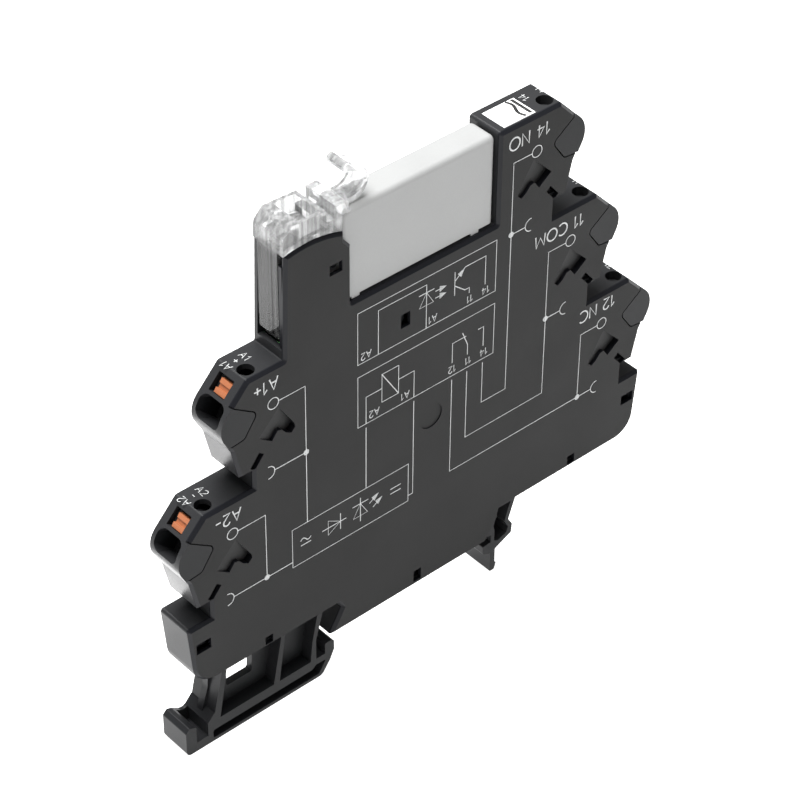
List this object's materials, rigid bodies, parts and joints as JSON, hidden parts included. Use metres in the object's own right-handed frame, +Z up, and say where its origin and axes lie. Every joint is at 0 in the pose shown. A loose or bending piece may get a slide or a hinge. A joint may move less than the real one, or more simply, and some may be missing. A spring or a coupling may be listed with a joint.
{
  "type": "relay module",
  "caption": "Slim plug-in relay module with push-in terminals, clear retaining clip and spring latch for a 35 mm mounting rail.",
  "frame": {"origin": "middle of the seat that rests on the mounting rail, midway through the thickness", "axes": "+X along the module to the output side, +Y away from the printed side, +Z up from the rail"},
  "size_m": [0.0907, 0.0064, 0.0892],
  "materials": {
    "housing": "fine matte moulded surface, dark grey",
    "cover": "fine matte moulded surface, dark grey, with pale print",
    "latch": "matte moulded surface, dark grey",
    "tag": "matte white",
    "button": "matte orange",
    "relay_shell": "light grey, satin",
    "relay_plate": "dark moulded plate",
    "clear": "clear polycarbonate",
    "lens": "clear green lens",
    "board": "green laminate",
    "smd": "black body",
    "copper": "tinned copper strip",
    "contact": "rolled contact brass",
    "steel": "stainless spring strip",
    "iron": "plated soft iron",
    "winding": "enamelled copper wire under varnish"
  },
  "bodies": {
    "housing": {"housing_base": "housing", "side_cover": "cover", "marker_tag": "tag", "circuit_board": "board", "led_resistor": "smd", "suppressor_diode": "smd", "status_led": "lens", "latch_spring": "steel", "coil_contact_a1": "contact", "coil_contact_a2": "contact", "rectifier_diode_1": "smd", "rectifier_diode_2": "smd", "rectifier_diode_3": "smd", "rectifier_diode_4": "smd", "clamp_spring_14": "steel", "current_bar_14": "copper", "clamp_spring_11": "steel", "current_bar_11": "copper", "clamp_spring_12": "steel", "current_bar_12": "copper", "clamp_spring_a1": "steel", "current_bar_a1": "copper", "clamp_spring_a2": "steel", "current_bar_a2": "copper"},
    "relay": {"relay_cover": "relay_shell", "relay_base": "relay_plate", "coil_bobbin": "relay_plate", "coil_winding": "winding", "relay_core": "iron", "relay_yoke": "iron", "contact_nc": "contact", "contact_no": "contact", "contact_pin_11": "contact", "coil_pin_a1": "contact", "coil_pin_a2": "contact"},
    "armature": {"armature": "iron"},
    "actuator_card": {"actuator_card": "relay_plate"},
    "contact_spring": {"contact_spring": "contact"},
    "retaining_clip": {"retaining_clip": "clear"},
    "rail_latch": {"rail_latch": "latch"},
    "button_14": {"release_button_14": "button"},
    "button_11": {"release_button_11": "button"},
    "button_12": {"release_button_12": "button"},
    "button_a1": {"release_button_a1": "button"},
    "button_a2": {"release_button_a2": "button"}
  },
  "joints": [
    {"name": "button_14_press", "type": "slide", "parent": "housing", "child": "button_14", "axis": [-0.8192, 0, -0.5736], "range_m": [0, 0.0012], "stiffness_N_per_m": 1500, "springref_m": -0.001, "deforming": ["clamp_spring_14"]},
    {"name": "button_11_press", "type": "slide", "parent": "housing", "child": "button_11", "axis": [-0.8192, 0, -0.5736], "range_m": [0, 0.0012], "stiffness_N_per_m": 1500, "springref_m": -0.001, "deforming": ["clamp_spring_11"]},
    {"name": "button_12_press", "type": "slide", "parent": "housing", "child": "button_12", "axis": [-0.8192, 0, -0.5736], "range_m": [0, 0.0012], "stiffness_N_per_m": 1500, "springref_m": -0.001, "deforming": ["clamp_spring_12"]},
    {"name": "button_a1_press", "type": "slide", "parent": "housing", "child": "button_a1", "axis": [0.8192, 0, -0.5736], "range_m": [0, 0.0012], "stiffness_N_per_m": 1500, "springref_m": -0.001, "deforming": ["clamp_spring_a1"]},
    {"name": "button_a2_press", "type": "slide", "parent": "housing", "child": "button_a2", "axis": [0.8192, 0, -0.5736], "range_m": [0, 0.0012], "stiffness_N_per_m": 1500, "springref_m": -0.001, "deforming": ["clamp_spring_a2"]},
    {"name": "rail_latch_slide", "type": "slide", "parent": "housing", "child": "rail_latch", "axis": [-1, 0, 0], "range_m": [0, 0.0036], "stiffness_N_per_m": 2500, "springref_m": -0.002, "deforming": ["latch_spring"]},
    {"name": "relay_lift", "type": "slide", "parent": "housing", "child": "relay", "axis": [0, 0, 1], "range_m": [0, 0.00385]},
    {"name": "clip_turn", "type": "hinge", "parent": "housing", "child": "retaining_clip", "pos_m": [-0.0203, 0, 0.058], "axis": [0, -1, 0], "range_deg": [0, 24]},
    {"name": "armature_turn", "type": "hinge", "parent": "relay", "child": "armature", "pos_m": [-0.0097, 0, 0.062], "axis": [0, 1, 0], "range_deg": [0, 4], "stiffness_Nm_per_rad": 0.02, "springref_deg": -2.86},
    {"name": "card_slide", "type": "slide", "parent": "relay", "child": "actuator_card", "axis": [1, 0, 0], "range_m": [0, 0.00068]},
    {"name": "contact_spring_turn", "type": "hinge", "parent": "relay", "child": "contact_spring", "pos_m": [0.0089, 0, 0.06175], "axis": [0, 1, 0], "range_deg": [0, 2.9]}
  ],
  "couplings": [
    {"joint": "clip_turn", "follows": "relay_lift", "rad_per_m": 108.7},
    {"joint": "card_slide", "follows": "armature_turn", "m_per_rad": 0.0096},
    {"joint": "contact_spring_turn", "follows": "armature_turn", "ratio": 0.714}
  ]
}
